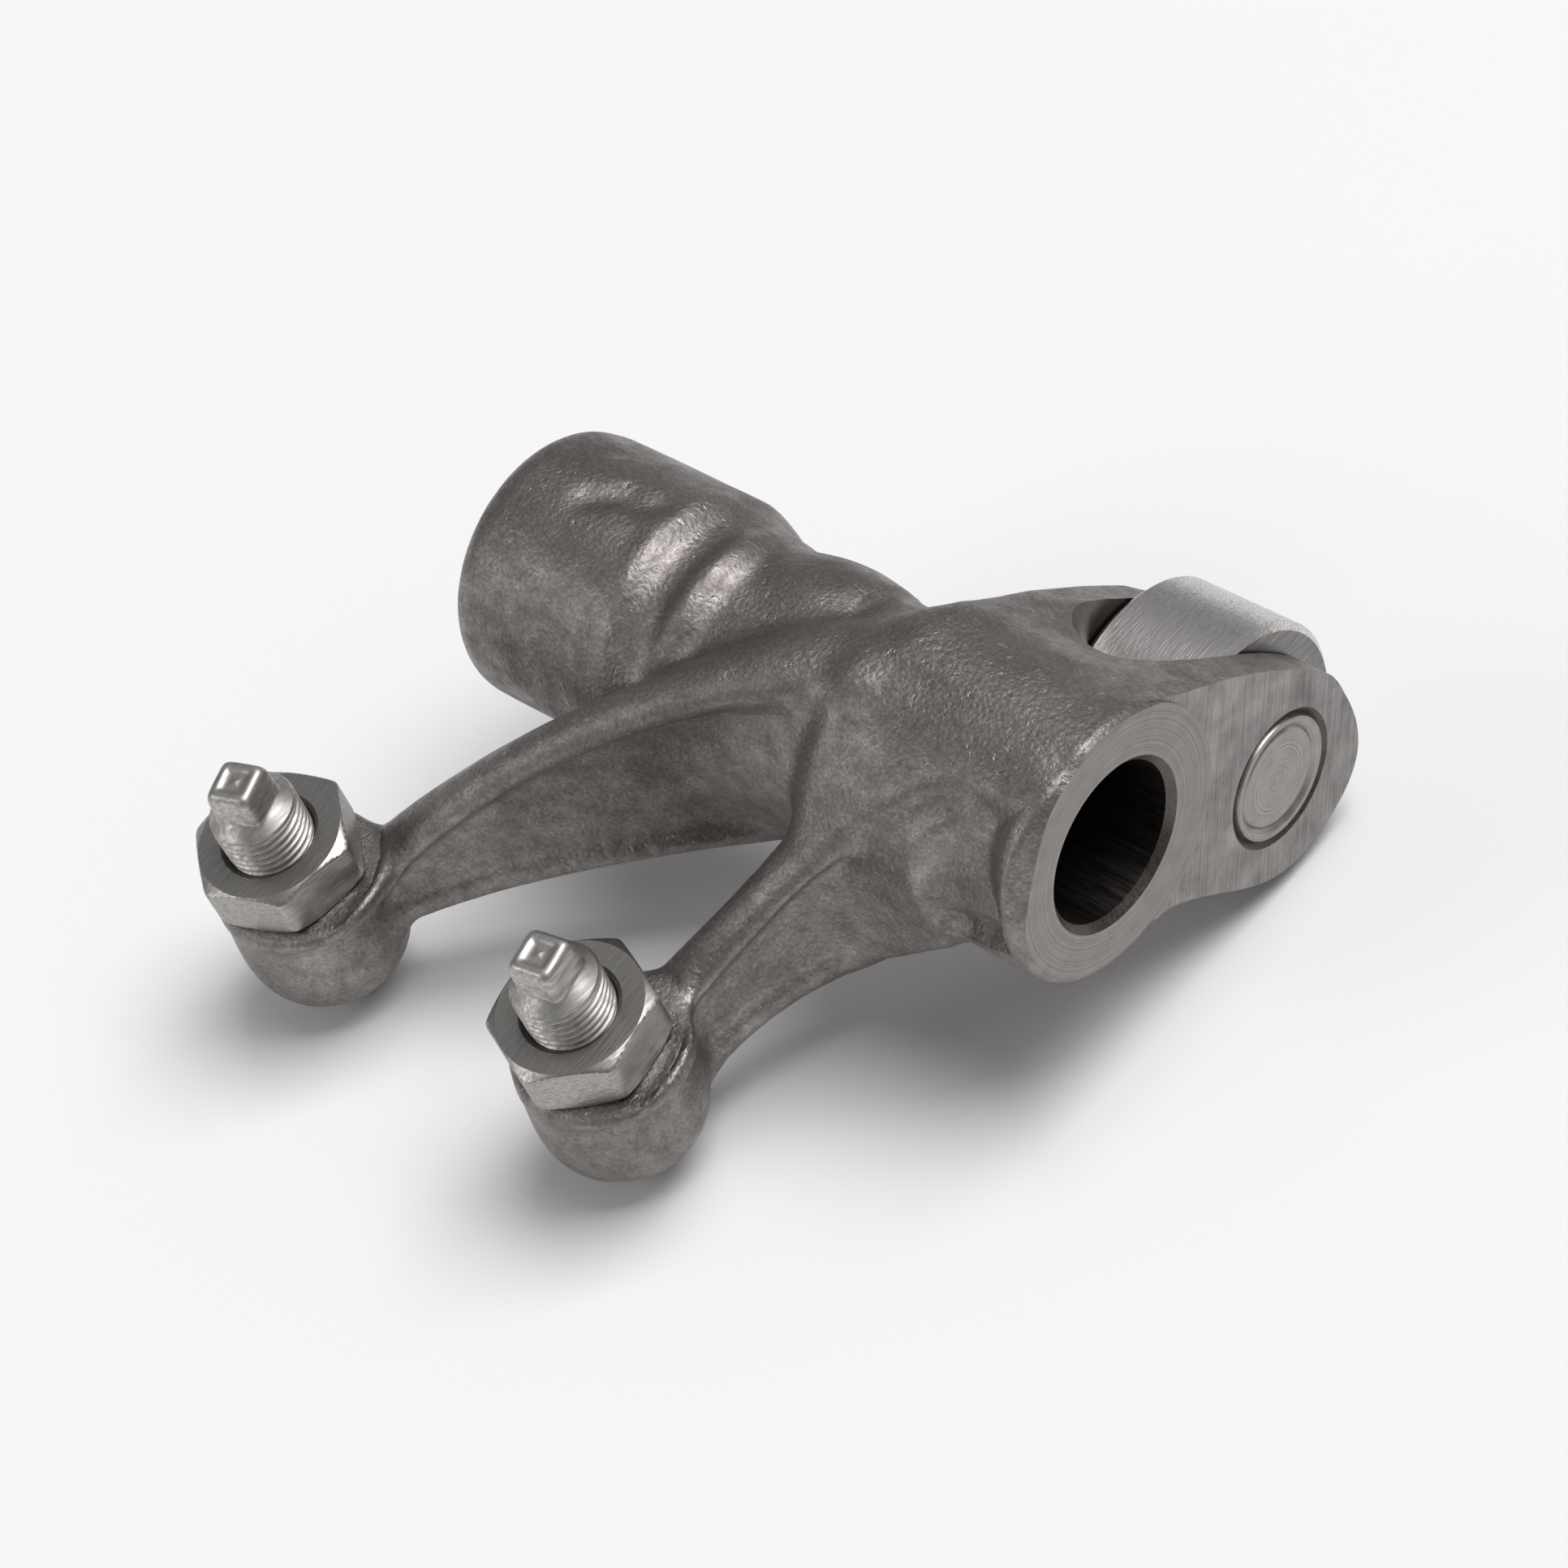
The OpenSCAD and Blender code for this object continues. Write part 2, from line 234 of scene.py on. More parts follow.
def arm_field(end, x, y, z):
    """An arm of I section: a crowned flange, a web with a bead along its lower edge, and the web's foot."""
    arm = ARMS[end]
    u, v = x[..., 0], y[..., 0]
    steps = np.linspace(0, 1, 41)
    left, right = bezier(arm["left"], steps), bezier(arm["right"], steps)
    middle = (left + right) / 2
    half = np.array([np.hypot(*(left - m).T).min() for m in middle])
    gap, t = nearest(middle, u, v)
    side = np.sign(nearest(left, u, v)[0] - nearest(right, u, v)[0])
    gap, t, side = gap[..., None], t[..., None], (side * gap)[..., None]
    half = np.interp(t, steps, half)
    top = bezier([np.float64(h) for h in arm["top"]], t)
    low = bezier([np.float64(h) for h in arm["low"]], t)
    below = z - top + WEB_BELOW_TOP
    across = np.sqrt(gap**2 + 0.8) - 0.2
    flange = carve(carve(across - half, z - top - 0.1, CREST_ROUND), top - arm["flange"] - z, EDGE_ROUND)
    web = carve(gap - WEB_T / 2, np.maximum(below, low + 0.4 - z), 0.8)
    bead = carve(gap - WEB_T / 2 - BEAD_OUT, np.abs(z - low - BEAD_H / 2) - BEAD_H / 2, EDGE_ROUND)
    length, start, full = arm["foot"]
    foot = length * np.clip((start - t) / (start - full), 0, 1.15) ** 1.5
    toe = low + 0.9 * foot
    fall = np.clip((top - WEB_BELOW_TOP - z) / (top - toe - 2), 0, 1)
    spread = foot * (0.28 + 0.72 * fall) - 0.5 * (1 - np.clip(foot, 0, 1))
    edge = low + (toe - low) * np.clip((side - WEB_T / 2) / (foot + 0.6), 0, 1)
    fan = carve(0.75 * (side - WEB_T / 2 - spread), np.maximum(edge - z, below), EDGE_ROUND)
    fan = carve(fan, x - RING_X + FOLD + 0.6, 0.7)
    fan = np.where(foot > 0.02, np.maximum(fan, -side), 9)
    return blend(blend(blend(web, bead, 0.8), fan, 0.8), flange, 1.0)


def boss_field(end, x, y, z):
    """The cup-shaped boss that an adjuster screws into, with a lip round the arm's side of the nut's seat."""
    gap = np.hypot(x - SCREWS[end].x, y - SCREWS[end].y)
    radius = BOSS_R - 0.4 * (1 - ease((SEAT_Z - z) / 6))
    cup = carve(carve(gap - radius, SEAT_Z - BOSS_LEN - z, BOSS_ROUND), z - SEAT_Z - 0.6, 0.6)
    turn = np.degrees(np.arctan2(y - SCREWS[end].y, x - SCREWS[end].x))
    rise = hump(turn, 8, 66)
    lip = np.hypot(gap - SEAT_R + 1.5 - 1.7 * rise, z - SEAT_Z + 1.1 - 0.85 * rise) - 0.4 - 0.5 * rise
    return blend(cup, lip, 1.2)


# Marks that run round the tube: the ridge by the far boss, the lump on the neck and the valley between them
RIDGE = {"place": SHOULDER + 4.2, "stand_off": 1.5, "direction": 92, "radius": 6.3, "round": 1.3}
LUMP = {"place": SHOULDER + 10, "stand_off": 3.2, "direction": 48, "radius": 5.9, "half_w": 3.9, "crown": 0.5}
VALLEY = {"place": SHOULDER + 2.3, "stand_off": -3, "direction": 88, "radius": 13.2, "round": 1.6}
MARK_LEAN = 4


def round_mark(mark, x, y, z):
    """Distance along and out from the axis of a forging mark, which stands off the shaft's own axis."""
    a, lean = math.radians(mark["direction"]), math.radians(MARK_LEAN)
    side = y * math.cos(a) + z * math.sin(a) - mark["stand_off"]
    cross = z * math.cos(a) - y * math.sin(a)
    past = x - RING_X - mark["place"]
    along = past * math.cos(lean) + side * math.sin(lean)
    return along, np.hypot(side * math.cos(lean) - past * math.sin(lean), cross)


def tube_field(x, y, z):
    """The shaft tube and its far boss, with the ridge, the lump and the slanting valley that forging left."""
    gap = np.hypot(y, z)
    turn = np.degrees(np.arctan2(z, y))
    e = x - RING_X
    end = BARREL_END + 0.9 * hump(turn, 20, 45)
    radius = RING_R + (NECK_R - RING_R) * ease((end - e) / 3)
    bevel = 0.35 + 0.75 * hump(turn, 142, 24)
    radius = radius - np.maximum(e + bevel, 0)
    radius = radius - np.minimum(pocket_depth(x, y, z) + crease_depth(x, y, z), radius - NECK_R + 0.1)
    neck = np.maximum(gap - radius, 2.2 - RING_X - x)
    sink = NECK_R - 0.7
    t = np.clip((SHOULDER + 5.2 - e) / 5.2, 0, 1)
    far_boss = np.hypot(y - 0.26, z - 0.13) - sink - (FAR_R - sink) * (ease(t) + t) / 2
    body = blend(neck, carve(far_boss, -RING_X - x, TUBE_ROUND), 0.8)
    along, out = round_mark(RIDGE, x, y, z)
    body = blend(body, np.hypot(np.maximum(out - RIDGE["radius"], 0), along) - RIDGE["round"], 1.2)
    along, out = round_mark(LUMP, x, y, z)
    fall = LUMP["crown"] * (along / LUMP["half_w"]) ** 2
    body = blend(body, np.maximum(out - LUMP["radius"] + fall, np.abs(along) - LUMP["half_w"]), 0.5)
    along, out = round_mark(VALLEY, x, y, z)
    body = carve(body, VALLEY["round"] - np.hypot(out - VALLEY["radius"], along), 1.2)
    return np.maximum(body, x - RING_X - 1)


def pocket_depth(x, y, z):
    """How far the barrel's front is pressed in between its collar and the near arm's foot, with soft edges."""
    crest = bezier([(1.3, 8.8), (5.5, 8.8), (7.6, 7.8), (FOLD + 1.2, 4.6)], np.linspace(0, 1, 13))
    outline = np.vstack([[(FOLD + 1.2, -3), (5.4, -2.6), (1.3, -1)], crest])
    side = outline_field(outline, RING_X - x[:, 0], z[0])[:, None]
    return 1.3 * ease(-side / (1.3 + 1.4 * ease((z - 1) / 5))) * (y < 0)


def crease_depth(x, y, z):
    """The crease that runs on from the pocket's crest, under the near arm's flange."""
    line = bezier([(2.4, 7.6), (8, 7.6), (10.6, 5.4), (14.5, 1.6)], np.linspace(0, 1, 25))
    gap, along = nearest(line, RING_X - x[:, 0], z[0])
    return (0.9 * ease(along / 0.4) * np.exp(-((gap / 1.0) ** 2)))[:, None] * (y < 0)


def fork_field(x, y, z):
    """The fork's block before it is milled."""
    near, far = (outline_field(fork_outline(rise), y[0], z[0])[None] for rise in (0, 1))
    rise = np.clip((FACE_X - x) / (FACE_X - FORK_X), 0, 1)
    return carve(near * (1 - rise) + far * rise, FORK_X - x, 1.2)


def scoop_field(x, y, z):
    """The forged dish at the mouth of the roller's slot."""
    ball = np.sqrt((x - ROLLER.x) ** 2 + (y - ROLLER.y - 2.75) ** 2 + (z - 10.7) ** 2) - SCOOP_R
    return carve(ball, np.abs(x - ROLLER.x) - SLOT_W / 2 - 0.4, 1.0)


def forging_field(x, y, z):
    """Signed distance to the whole forging before machining."""
    body = carve(blend(tube_field(x, y, z), fork_field(x, y, z), FORK_FILLET), -scoop_field(x, y, z), 0.8)
    for end in ("near", "far"):
        arm = blend(arm_field(end, x, y, z), boss_field(end, x, y, z), BOSS_FILLET)
        body = blend(body, arm, ARM_FILLET)
    for screw in SCREWS.values():
        seat = np.maximum(np.hypot(x - screw.x, y - screw.y) - SEAT_R - 0.1, SEAT_Z + 0.1 - z)
        body = carve(body, -seat, 0.9)
    return np.maximum(body, x - RING_X - 1)


def new_mesh(name, points, faces):
    mesh = bpy.data.meshes.new(name)
    mesh.from_pydata([tuple(p) for p in points], [], [tuple(f) for f in faces])
    shape = bmesh.new()
    shape.from_mesh(mesh)
    bmesh.ops.recalc_face_normals(shape, faces=shape.faces)
    shape.to_mesh(mesh)
    shape.free()
    return mesh


def forging_blank():
    """The forging as a mesh, in mm, still without its machined faces."""
    room = 1.5
    low = np.array([SCREWS["far"].x - BOSS_R - room, SCREWS["far"].y - BOSS_R - room, ROLLER.z - EAR_R - room])
    high = np.array([RING_X + 2.5, ROLLER.y + EAR_R + room, RING_R + 2.2])
    axes = [np.arange(a, b, CELL) for a, b in zip(low, high)]
    x, y, z = np.meshgrid(*axes, indexing="ij", sparse=True)
    field = forging_field(x, y, z)
    grid = openvdb.FloatGrid(background=2.0)
    grid.copyFromArray(np.clip(field, -2, 2).astype(np.float32))
    points, tris, quads = grid.convertToPolygons(isovalue=0.0, adaptivity=0.0)
    points = points * CELL + low
    mesh = new_mesh("forging_blank", points.tolist(), tris.tolist() + quads.tolist())
    roughen(mesh)
    return mesh


# Small knocks all over the skin, and deeper scars on the far boss, at (mm from the ring face, degrees round)
KNOCKS = 90
SCARS = [(-37, 72), (-38.2, 76), (-39.6, 74), (-40.6, 80), (-41.8, 84)]
SCAR_DEPTH = 0.3
SCAR_SIZE = 1.1


def roughen(mesh):
    """Forged skin: shallow waves, small pits, knocks and scars. All of them go inwards."""
    count = len(mesh.vertices)
    at, out = np.empty(count * 3), np.empty(count * 3)
    mesh.vertices.foreach_get("co", at)
    mesh.vertex_normals.foreach_get("vector", out)
    at, out = at.reshape(-1, 3), out.reshape(-1, 3)
    spots = [Vector(p) for p in at]
    depth = np.array([0.05 * (1 + noise.noise(p / 5)) + 0.012 * (1 + noise.noise(p / 1.3)) for p in spots])
    pick = random.Random(7)
    knocks = [(pick.randrange(count), pick.uniform(0.5, 1.3), pick.uniform(0.05, 0.16)) for _ in range(KNOCKS)]
    for index, size, deep in knocks:
        depth += deep * np.exp(-((at - at[index]) ** 2).sum(1) / size**2)
    for along, turn in SCARS:
        a = math.radians(turn)
        spot = (RING_X + along, FAR_R * math.cos(a), FAR_R * math.sin(a))
        depth += SCAR_DEPTH * np.exp(-((at - spot) ** 2).sum(1) / SCAR_SIZE**2)
    mesh.vertices.foreach_set("co", (at - out * depth[:, None]).ravel())


def turned(name, profile, steps=160, closed=False):
    """A mesh turned about Z from points (radius, height). A point on the axis closes that end.

    A radius can also be a list with one value for each step of the turn."""
    points, rows = [], []
    turns = [math.tau * i / steps for i in range(steps)]
    for radius, height in profile:
        first = len(points)
        if np.ndim(radius) == 0 and radius == 0:
            points.append((0, 0, height))
            rows.append([first] * steps)
        else:
            radii = np.broadcast_to(radius, steps)
            points += [(r * math.cos(a), r * math.sin(a), height) for r, a in zip(radii, turns)]
            rows.append(list(range(first, first + steps)))
    pairs = list(zip(rows, rows[1:])) + ([(rows[-1], rows[0])] if closed else [])
    faces = []
    for low, high in pairs:
        for i in range(steps):
            j = (i + 1) % steps
            face = list(dict.fromkeys([low[i], low[j], high[j], high[i]]))
            if len(face) > 2:
                faces.append(face)
    return new_mesh(name, points, faces)


ALONG_X = Matrix.Rotation(math.radians(90), 4, "Y")


def part(mesh, matrix=None):
    """An object of this mesh, moved by a matrix of the upright mm frame."""
    if matrix is not None:
        mesh.transform(matrix)
    thing = bpy.data.objects.new(mesh.name, mesh)
    bpy.context.scene.collection.objects.link(thing)
    return thing


def cut(blank, cutter, material=None, operation="DIFFERENCE"):
    """Cuts a closed mesh with another. The new faces take the cutter's material."""
    if material is not None:
        cutter.data.materials.clear()
        cutter.data.materials.append(material)
    step = blank.modifiers.new("cut", "BOOLEAN")
    step.object = cutter
    step.operation = operation
    step.solver = "MANIFOLD"
    step.material_mode = "TRANSFER"
    result = bpy.data.meshes.new_from_object(blank.evaluated_get(bpy.context.evaluated_depsgraph_get()))
    blank.modifiers.clear()
    blank.data = result
    bpy.data.objects.remove(cutter)
    return blank


def rod(name, radius, low, high, steps=160):
    """A plain round cutter along Z."""
    return turned(name, [(0, low), (radius, low), (radius, high), (0, high)], steps)


def block(name, low, high):
    a, b = Vector(low), Vector(high)
    corners = [(x, y, z) for x in (a.x, b.x) for y in (a.y, b.y) for z in (a.z, b.z)]
    sides = [(0, 1, 3, 2), (4, 6, 7, 5), (0, 4, 5, 1), (2, 3, 7, 6), (0, 2, 6, 4), (1, 5, 7, 3)]
    return new_mesh(name, corners, sides)


def colour(text):
    """An sRGB hex colour as the linear one that shaders take."""
    values = [int(text[i : i + 2], 16) / 255 for i in (1, 3, 5)]
    return [v / 12.92 if v <= 0.04045 else ((v + 0.055) / 1.055) ** 2.4 for v in values] + [1.0]


def add(tree, kind, links=None, **settings):
    """Adds a node. Its links give each input a value or another node's output."""
    node = tree.nodes.new(kind)
    for name, value in settings.items():
        setattr(node, name, value)
    for name, value in (links or {}).items():
        if isinstance(value, bpy.types.NodeSocket):
            tree.links.new(value, node.inputs[name])
        else:
            node.inputs[name].default_value = value
    return node


def per_mm(size):
    """The scale at which a pattern repeats about every so many mm."""
    return 1 / (size * MM)


def steel(name):
    """An empty metal material: its tree, its shader and the coordinates that move with the piece."""
    material = bpy.data.materials.new(name)
    material.use_nodes = True
    tree = material.node_tree
    tree.nodes.clear()
    shader = add(tree, "ShaderNodeBsdfPrincipled", {"Metallic": 1.0})
    add(tree, "ShaderNodeOutputMaterial", {"Surface": shader.outputs["BSDF"]})
    place = add(tree, "ShaderNodeTexCoord").outputs["Object"]
    return material, tree, shader, place


def noise_node(tree, place, size, detail=3.0, rough=0.6):
    """Noise that repeats about every so many mm."""
    return add(tree, "ShaderNodeTexNoise", {"Vector": place, "Scale": per_mm(size), "Detail": detail,
                                            "Roughness": rough}).outputs["Fac"]


def spread(tree, value, low, high, to_low, to_high):
    """A value carried from one range to another, clamped."""
    return add(tree, "ShaderNodeMapRange", {"Value": value, "From Min": low, "From Max": high,
                                            "To Min": to_low, "To Max": to_high}).outputs["Result"]


def ramp(tree, value, *stops):
    """Colours from (place, hex) pairs."""
    node = add(tree, "ShaderNodeValToRGB", {"Fac": value})
    marks = node.color_ramp.elements
    while len(marks) < len(stops):
        marks.new(0.5)
    for mark, (place, text) in zip(marks, stops):
        mark.position, mark.color = place, colour(text)
    return node.outputs["Color"]


def bumps(tree, shader, *layers):
    """Stacks bump layers of (height, depth in mm, strength) under a shader's normal."""
    normal = None
    for height, depth, strength in layers:
        links = {"Height": height, "Distance": math.copysign(depth, strength) * MM, "Strength": abs(strength)}
        if normal:
            links["Normal"] = normal
        normal = add(tree, "ShaderNodeBump", links).outputs["Normal"]
    tree.links.new(normal, shader.inputs["Normal"])


def forged_steel():
    """Drop-forged and shot-blasted steel, lightly oiled: dark neutral grey with a satin sheen.

    The shot leaves overlapping dimples well under a millimetre across, and fine scale pits between them.
    Rubbed high spots are a little brighter and smoother."""
    material, tree, shader, place = steel("forged steel, shot-blasted")
    patches = noise_node(tree, place, 6, 4.0, 0.6)
    rubbed = noise_node(tree, place, 1.6, 6.0, 0.75)
    grain = noise_node(tree, place, 0.24, 3.0, 0.7)
    nicks = spread(tree, noise_node(tree, place, 0.8, 3.0, 0.6), 0.6, 0.72, 0, 1)
    shot = add(tree, "ShaderNodeTexVoronoi", {"Vector": place, "Scale": per_mm(0.36)}, feature="SMOOTH_F1")
    tone = add(tree, "ShaderNodeMath", {0: patches, 1: 0.6, 2: grain}, operation="MULTIPLY_ADD")
    tone = add(tree, "ShaderNodeMath", {0: tone.outputs[0], 1: rubbed}, operation="ADD")
    shade = ramp(tree, spread(tree, tone.outputs[0], 0.95, 1.65, 0, 1), (0, "#6b6664"), (0.5, "#878280"),
                 (1, "#a49f9d"))
    tree.links.new(shade, shader.inputs["Base Color"])
    tree.links.new(spread(tree, rubbed, 0.35, 0.7, 0.56, 0.34), shader.inputs["Roughness"])
    bumps(tree, shader, (rubbed, 0.12, 0.35), (nicks, 0.05, -0.7), (shot.outputs["Distance"], 0.07, 0.5),
          (grain, 0.07, 0.6))
    return material


def machined_steel(name, hex_dark, hex_light, rough, line_mm, long, depth_mm, lean=0.0):
    """Cut steel: fine tool lines along the axis with the long stretch, turned about the shaft by lean."""
    material, tree, shader, place = steel(name)
    stretch = add(tree, "ShaderNodeMapping", {"Vector": place, "Rotation": (lean, 0, 0), "Scale": long},
                  vector_type="TEXTURE").outputs["Vector"]
    lines = noise_node(tree, stretch, line_mm)
    wear = noise_node(tree, place, 3)
    tone = add(tree, "ShaderNodeMath", {0: lines, 1: wear}, operation="ADD").outputs[0]
    shade = ramp(tree, spread(tree, tone, 0.7, 1.3, 0, 1), (0, hex_dark), (1, hex_light))
    tree.links.new(shade, shader.inputs["Base Color"])
    tree.links.new(spread(tree, lines, 0.3, 0.7, rough - 0.06, rough + 0.08), shader.inputs["Roughness"])
    bumps(tree, shader, (lines, depth_mm, 0.6))
    return material


def turned_steel(name, hex_dark, hex_light, rough, centre, line_mm=0.16, depth_mm=0.03):
    """Steel faced on a lathe: rings about a centre of the upright frame, fine and a little uneven."""
    material, tree, shader, place = steel(name)
    middle = UPRIGHT_TO_REST @ Vector(centre)
    out = add(tree, "ShaderNodeVectorMath", {0: place, 1: middle}, operation="SUBTRACT").outputs["Vector"]
    flat = add(tree, "ShaderNodeVectorMath", {0: out, 1: (0, 1, 1)}, operation="MULTIPLY").outputs["Vector"]
    radius = add(tree, "ShaderNodeVectorMath", {0: flat}, operation="LENGTH").outputs["Value"]
    wave = add(tree, "ShaderNodeTexNoise", {"W": radius, "Scale": per_mm(line_mm), "Detail": 2.0},
               noise_dimensions="1D").outputs["Fac"]
    wear = noise_node(tree, place, 1.6, 4.0)
    tone = add(tree, "ShaderNodeMath", {0: wave, 1: wear}, operation="ADD").outputs[0]
    shade = ramp(tree, spread(tree, tone, 0.7, 1.3, 0, 1), (0, hex_dark), (1, hex_light))
    tree.links.new(shade, shader.inputs["Base Color"])
    tree.links.new(spread(tree, wear, 0.3, 0.7, rough - 0.05, rough + 0.08), shader.inputs["Roughness"])
    bumps(tree, shader, (wave, depth_mm, 0.6))
    return material


def scratched_steel(name, hex_dark, hex_light, rough, line_mm, depth_mm, painted_end_shade=1.0):
    """Ground steel that has run against its neighbours: crossed fine scratches over an even grey.

    Faces that look along the shaft get painted shade: their grey is scaled down to the share given by the last
    argument."""
    material, tree, shader, place = steel(name)
    heights = []
    for angle in (0.5, -0.7):
        turn = add(tree, "ShaderNodeMapping", {"Vector": place, "Rotation": (angle, 0.3 * angle, angle),
                                               "Scale": (1, 0.06, 1)}).outputs["Vector"]
        heights.append(noise_node(tree, turn, line_mm, 2.0))
    both = add(tree, "ShaderNodeMath", {0: heights[0], 1: heights[1]}, operation="ADD").outputs[0]
    shade = ramp(tree, spread(tree, both, 0.75, 1.25, 0, 1), (0, hex_dark), (1, hex_light))
    facing = add(tree, "ShaderNodeNewGeometry").outputs["True Normal"]
    along = add(tree, "ShaderNodeSeparateXYZ", {"Vector": facing}).outputs["X"]
    along = add(tree, "ShaderNodeMath", {0: along}, operation="ABSOLUTE").outputs[0]
    # Painted shade: the grey of faces that look along the shaft is scaled down
    shade = add(tree, "ShaderNodeVectorMath", {0: shade, "Scale": spread(tree, along, 0.85, 0.95, 1, painted_end_shade)},
                operation="SCALE").outputs["Vector"]
    tree.links.new(shade, shader.inputs["Base Color"])
    tree.links.new(spread(tree, both, 0.7, 1.3, rough + 0.08, rough - 0.05), shader.inputs["Roughness"])
    bumps(tree, shader, (heights[0], depth_mm, 0.5), (heights[1], depth_mm, 0.5))
    return material


FORGED = forged_steel()
TURNED_FACE = turned_steel("turned steel face", "#7d7876", "#9c9795", 0.4, (0, 0, 0))
GROUND_FACE = machined_steel("ground steel face", "#686563", "#a6a3a1", 0.38, 0.12, (1, 1, 60), 0.07, -0.3)
# Painted shade: the bore, the pin hole and the boss holes get a grey darker than the forging, standing in for the
# shade inside them
BORE_SHADED = machined_steel("bored steel", "#4a4643", "#6b6663", 0.4, 0.2, (20, 1, 1), 0.03)
# Painted shade: the roller's slot gets a dark grey that stands in for the shade inside it
MILLED_SHADED = machined_steel("milled steel", "#5b5754", "#7a7572", 0.42, 0.2, (20, 1, 1), 0.03)
SPOT_FACE = machined_steel("spot-faced steel", "#99948f", "#bab5b0", 0.3, 0.2, (1, 1, 1), 0.03)
PIN_STEEL = turned_steel("hardened steel pin", "#8a8582", "#aca7a3", 0.36, (0, ROLLER.y, ROLLER.z))
# The roller's end faces get painted shade: their grey is scaled to 0.36
ROLLER_STEEL = scratched_steel("ground bearing steel", "#b4b1af", "#e6e3e1", 0.33, 0.14, 0.03, 0.36)
SCREW_STEEL = scratched_steel("rolled-thread steel", "#9f9c9a", "#c4c1be", 0.42, 0.3, 0.02)
NUT_STEEL = scratched_steel("zinc-plated steel", "#979491", "#b3b0ad", 0.34, 0.25, 0.03)
NEEDLE_STEEL = machined_steel("polished bearing steel", "#b5b2af", "#c9c6c3", 0.16, 0.3, (1, 1, 1), 0.005)


def shade_smooth(thing, angle=32):
    mesh = thing.data
    mesh.polygons.foreach_set("use_smooth", [True] * len(mesh.polygons))
    mesh.set_sharp_from_angle(angle=math.radians(angle))


def forging():
    blank = part(forging_blank())
    blank.data.materials.append(FORGED)
    wide, past = 45, RING_X + 5
    cut(blank, part(block("beyond_ring", (RING_X, -wide, -wide), (past, wide, wide))), TURNED_FACE)
    cut(blank, part(block("beyond_tube", (-past, -12, -12), (-RING_X, 12, 12))), TURNED_FACE)
    past = RING_X + 3
    step = turned("ear_step", [(RING_R, FACE_X), (wide, FACE_X), (wide, past), (RING_R, past)], closed=True)
    cut(blank, part(step, ALONG_X), GROUND_FACE)
    c = BORE_CHAMFER
    bore = turned("bore", [(0, -RING_X - 1), (BORE_R + c + 1, -RING_X - 1), (BORE_R + c, -RING_X),
                           (BORE_R, -RING_X + c), (BORE_R, RING_X - c), (BORE_R + c, RING_X),
                           (BORE_R + c + 1, RING_X + 1), (0, RING_X + 1)], 192)
    cut(blank, part(bore, ALONG_X), BORE_SHADED)
    at_roller = Matrix.Translation((0, ROLLER.y, ROLLER.z))
    slot_low = ROLLER.x - SLOT_W / 2
    slot_high = slot_low + SLOT_W
    cut(blank, part(rod("slot_disc", SLOT_R, slot_low, slot_high, 192), at_roller @ ALONG_X), MILLED_SHADED)
    above = ROLLER.z + 30
    end = rod("slot_end", SLOT_W / 2, ROLLER.z, above, 96)
    cut(blank, part(end, Matrix.Translation((ROLLER.x, SLOT_END_Y, 0))), MILLED_SHADED)
    mouth = block("slot_mouth", (slot_low, SLOT_END_Y, ROLLER.z), (slot_high, SLOT_END_Y + 20, above))
    cut(blank, part(mouth), MILLED_SHADED)
    flare = PIN_R + PIN_CHAMFER
    pin = turned("pin_hole", [(0, FORK_X - 1), (flare, FORK_X - 1), (flare, FORK_X),
                              (PIN_R, FORK_X + PIN_SINK), (PIN_R, FACE_X - PIN_SINK),
                              (flare, FACE_X), (flare, FACE_X + 1), (0, FACE_X + 1)])
    cut(blank, part(pin, at_roller @ ALONG_X), BORE_SHADED)
    for screw in SCREWS.values():
        at_screw = Matrix.Translation((screw.x, screw.y, SEAT_Z))
        cut(blank, part(rod("seat", SEAT_R, 0, 14), at_screw), SPOT_FACE)
        cut(blank, part(rod("boss_hole", HOLE_R, -BOSS_LEN - 2, 2), at_screw), BORE_SHADED)
    blank.name = blank.data.name = "forged_arm"
    blank.data.transform(UPRIGHT_TO_REST)
    shade_smooth(blank)
    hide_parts("rocker_arm")
    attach(blank, "arm")
    return blank


# Adjuster and lock nut, in mm from the nut's seat along the adjuster's axis
THREAD_R = 3.0
THREAD_PITCH = 0.6
THREAD_START = 2.6
THREAD_END = 7.0
THREAD_DEPTH = 0.38
SCREW_TIP = SCREWS["near"].z - SEAT_Z
TIP_R = 2.5
TIP_ROUND = 0.6
SCREW_TOP = 10.05
SQUARE_HALF = 1.75
# The square end, rounded over into its dimple: how far below the top, and the share of the full square there
SCREW_HEAD = [(2.1, 1), (1.4, 0.99), (0.9, 0.98), (0.6, 0.96), (0.38, 0.92), (0.2, 0.86), (0.08, 0.79),
              (0.02, 0.71), (0, 0.62), (0.03, 0.54), (0.12, 0.46), (0.18, 0.38), (0.18, 0.2), (0.14, 0.1)]
NUT_FLAT = 5.0
NUT_CORNER = NUT_FLAT / math.cos(math.radians(30))
NUT_T = 3.85
NUT_BORE = 3.04
NUT_SINK = 3.4
SQUARE_TURN = {"near": 10, "far": 18}
NUT_TURN = {"near": 38.2, "far": 20.5}


